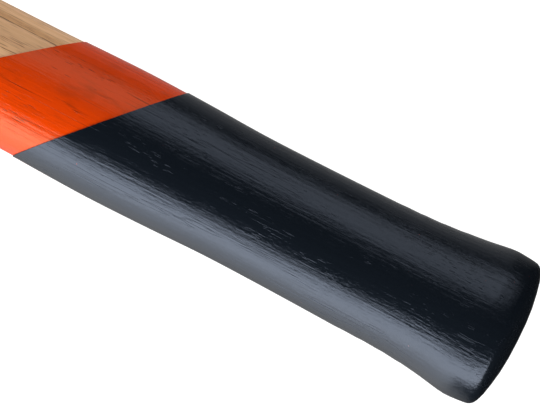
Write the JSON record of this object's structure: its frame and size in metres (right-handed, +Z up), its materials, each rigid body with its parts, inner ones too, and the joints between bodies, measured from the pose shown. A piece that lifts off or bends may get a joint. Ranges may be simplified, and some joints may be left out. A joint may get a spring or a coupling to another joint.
{
  "type": "splitting maul",
  "caption": "Splitting maul: forged steel wedge head with a hammer poll on a straight oval wooden handle, its flared butt dipped in orange and black paint.",
  "frame": {"origin": "on the floor, under the middle of the maul's bounding box", "axes": "+X along the handle towards the butt, +Y towards the poll (the bit is at -Y), +Z up, across the head's thickness; the maul lies on its side"},
  "size_m": [0.9008, 0.185, 0.0566],
  "materials": {
    "forged_steel": "black forge lacquer, bevels and poll face ground bright",
    "varnished_hickory": "clear varnish over long straight grain",
    "wedge_wood": "bare sawn hardwood, end grain showing",
    "wedge_steel": "plain mild steel with mill scale",
    "sleeve_steel": "satin black powder coat",
    "screw_steel": "bright zinc plate",
    "orange_enamel": "glossy dipped enamel, wood grain showing through",
    "black_enamel": "glossy dipped enamel, wood grain showing through"
  },
  "bodies": {
    "root": {"maul_head": "forged_steel", "handle": "varnished_hickory", "kerf_wedge": "wedge_wood", "steel_wedge_front": "wedge_steel", "steel_wedge_rear": "wedge_steel", "overstrike_sleeve": "sleeve_steel", "sleeve_screws": "screw_steel", "orange_undercoat": "orange_enamel", "black_topcoat": "black_enamel"}
  },
  "joints": []
}
